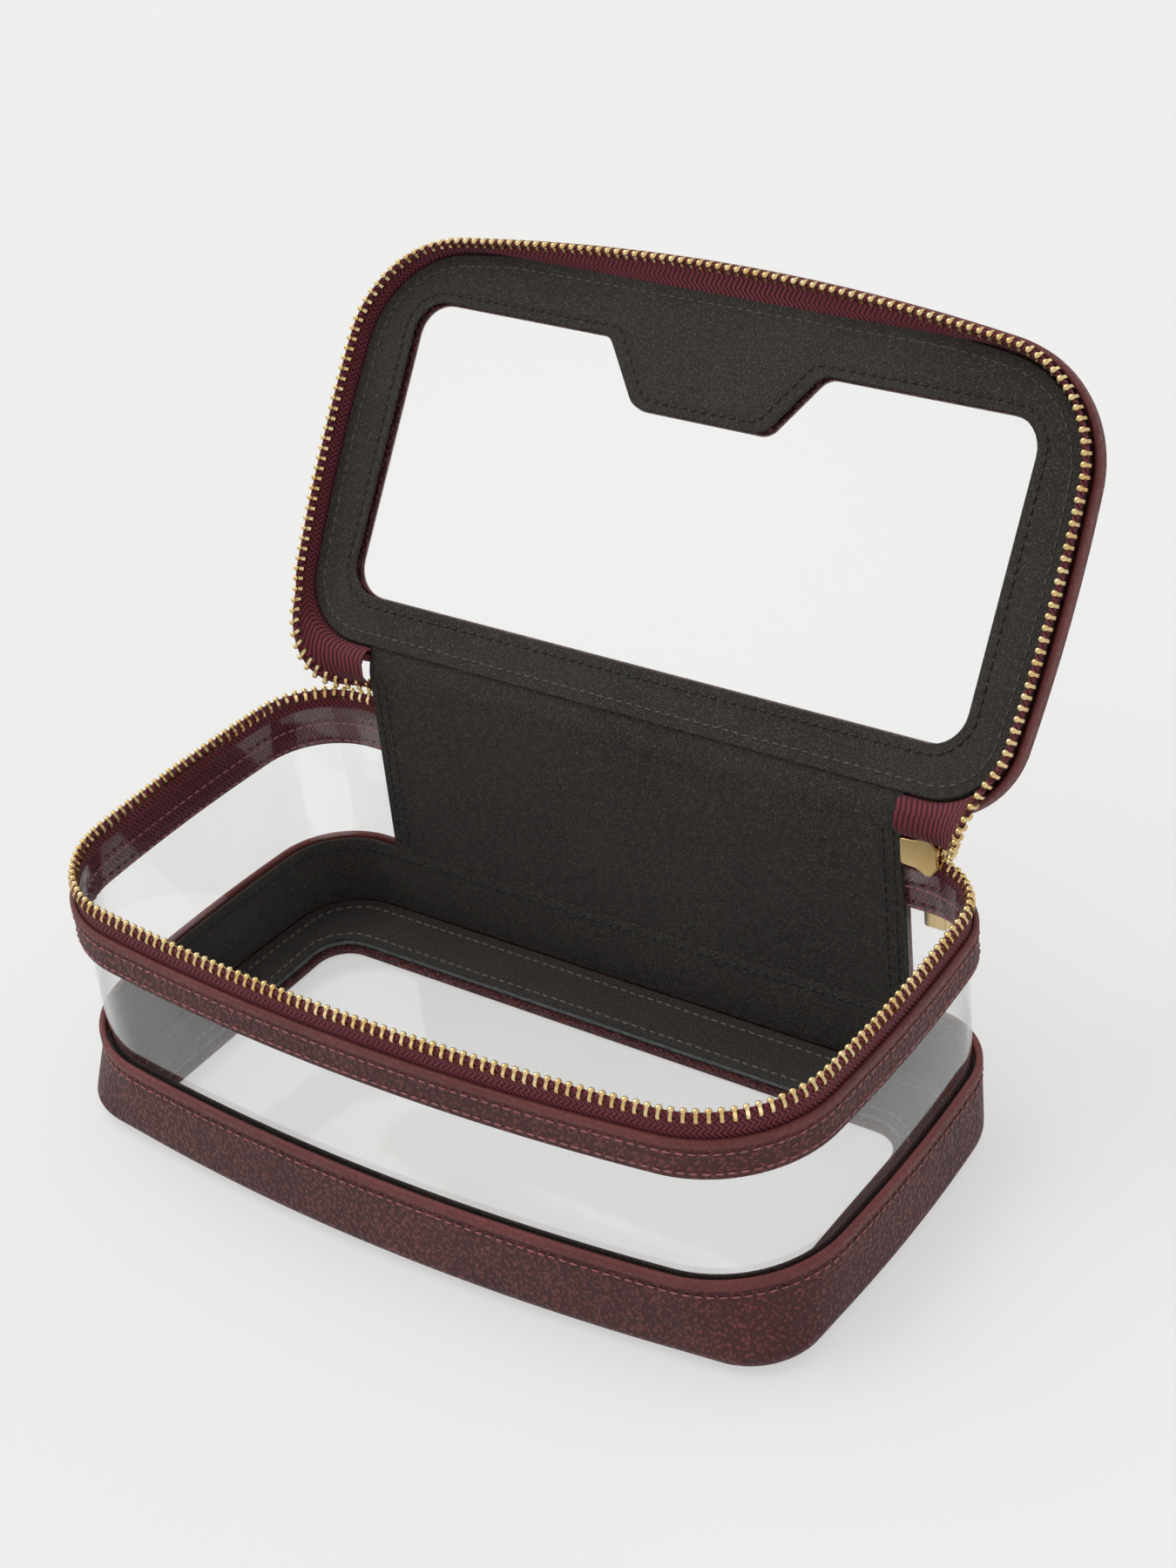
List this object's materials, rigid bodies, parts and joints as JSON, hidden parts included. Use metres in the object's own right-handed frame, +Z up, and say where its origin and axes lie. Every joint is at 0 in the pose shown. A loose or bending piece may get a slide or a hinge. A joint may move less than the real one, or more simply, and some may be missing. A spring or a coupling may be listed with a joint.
{
  "type": "makeup train case",
  "caption": "Small rounded-rectangle case with clear walls and windows, leather trim, dark lining and a hinged, zipped lid.",
  "frame": {"origin": "on the table, under the middle of the open case's overall box", "axes": "+X to the right along the front, +Y to the back where the hinge is, +Z up"},
  "size_m": [0.2004, 0.1712, 0.1693],
  "materials": {
    "grained_leather": "pebble grain, burgundy",
    "smooth_leather": "smooth folded edge, burgundy",
    "clear_vinyl": "clear flexible vinyl",
    "board": "plain stiffening board",
    "twill_lining": "black twill",
    "zip_tape": "burgundy herringbone weave",
    "gold_metal": "polished gold-coloured metal"
  },
  "bodies": {
    "case": {"base_leather": "grained_leather", "base_window": "clear_vinyl", "base_board": "board", "base_lining": "twill_lining", "skirt_leather": "grained_leather", "skirt_binding": "smooth_leather", "skirt_board": "board", "skirt_lining": "twill_lining", "clear_wall": "clear_vinyl", "rim_band": "grained_leather", "rim_binding": "smooth_leather", "zip_tape_case": "zip_tape", "zip_teeth_case": "gold_metal", "back_panel_leather": "grained_leather", "back_panel_board": "board", "back_panel_lining": "twill_lining"},
    "lid": {"hinge_fold": "grained_leather", "hinge_lining": "twill_lining", "lid_leather": "grained_leather", "lid_window": "clear_vinyl", "lid_board": "board", "lid_lining": "twill_lining", "lid_binding": "smooth_leather", "zip_tape_lid": "zip_tape", "zip_teeth_lid": "gold_metal", "zip_tape_hinge_ends": "zip_tape", "zip_teeth_hinge_ends": "gold_metal"},
    "slider": {"slider_body": "gold_metal", "slider_crown": "gold_metal"},
    "link": {"pull_link": "gold_metal"},
    "tab": {"pull_tab": "gold_metal"}
  },
  "joints": [
    {"name": "lid_hinge", "type": "hinge", "parent": "case", "child": "lid", "pos_m": [0, 0.02285, 0.0763], "axis": [1, 0, 0], "range_deg": [0, 125], "deforming": ["hinge_fold", "hinge_lining", "zip_tape_hinge_ends", "zip_teeth_hinge_ends"]},
    {"name": "slider_travel", "type": "slide", "parent": "case", "child": "slider", "axis": [1, 0, 0], "range_m": [0, 0.0012]},
    {"name": "link_swing", "type": "hinge", "parent": "slider", "child": "link", "pos_m": [0.07838, 0.02705, 0.067], "axis": [1, 0, 0], "range_deg": [0, 100]},
    {"name": "tab_swing", "type": "hinge", "parent": "link", "child": "tab", "pos_m": [0.07838, 0.02705, 0.0614], "axis": [0, 1, 0], "range_deg": [-70, 70]}
  ]
}
